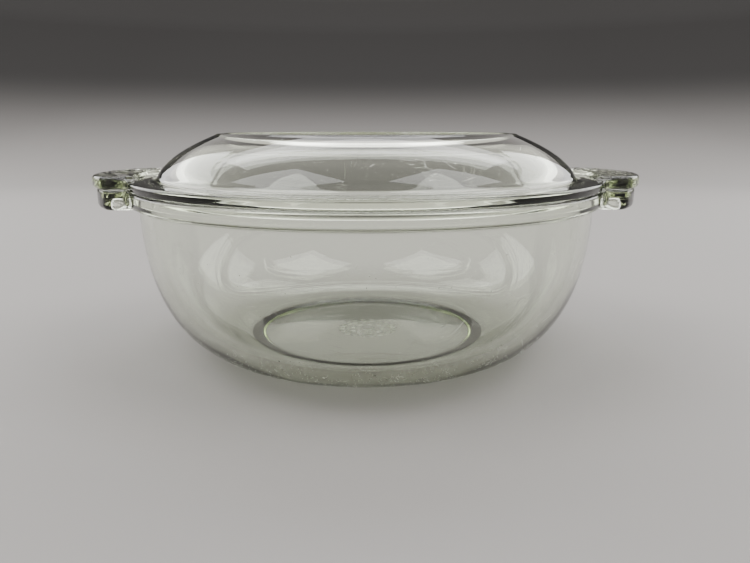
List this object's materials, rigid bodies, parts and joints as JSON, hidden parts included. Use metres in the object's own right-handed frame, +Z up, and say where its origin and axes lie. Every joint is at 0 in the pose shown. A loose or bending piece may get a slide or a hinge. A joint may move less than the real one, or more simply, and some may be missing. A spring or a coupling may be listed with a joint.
{
  "type": "lidded glass casserole dish",
  "caption": "Round deep dish in clear pale green pressed glass, with a tab handle at each end and a low domed lid with matching tabs that lifts off.",
  "frame": {"origin": "centre of the foot, on the surface the dish stands on", "axes": "+Z up; the two tab handles lie along X, so +X is the longest extent; the part is symmetric about X = 0 and Y = 0"},
  "size_m": [0.2476, 0.21, 0.099],
  "materials": {
    "dish_glass": "clear pressed glass, polished, with fine utensil scratches",
    "lid_glass": "clear pressed glass, polished, with fine utensil scratches"
  },
  "bodies": {
    "dish_body": {"dish": "dish_glass"},
    "lid_body": {"lid": "lid_glass"}
  },
  "joints": [
    {"name": "lid_lift", "type": "slide", "parent": "dish_body", "child": "lid_body", "axis": [0, 0, 1], "range_m": [0, 0.12]}
  ]
}
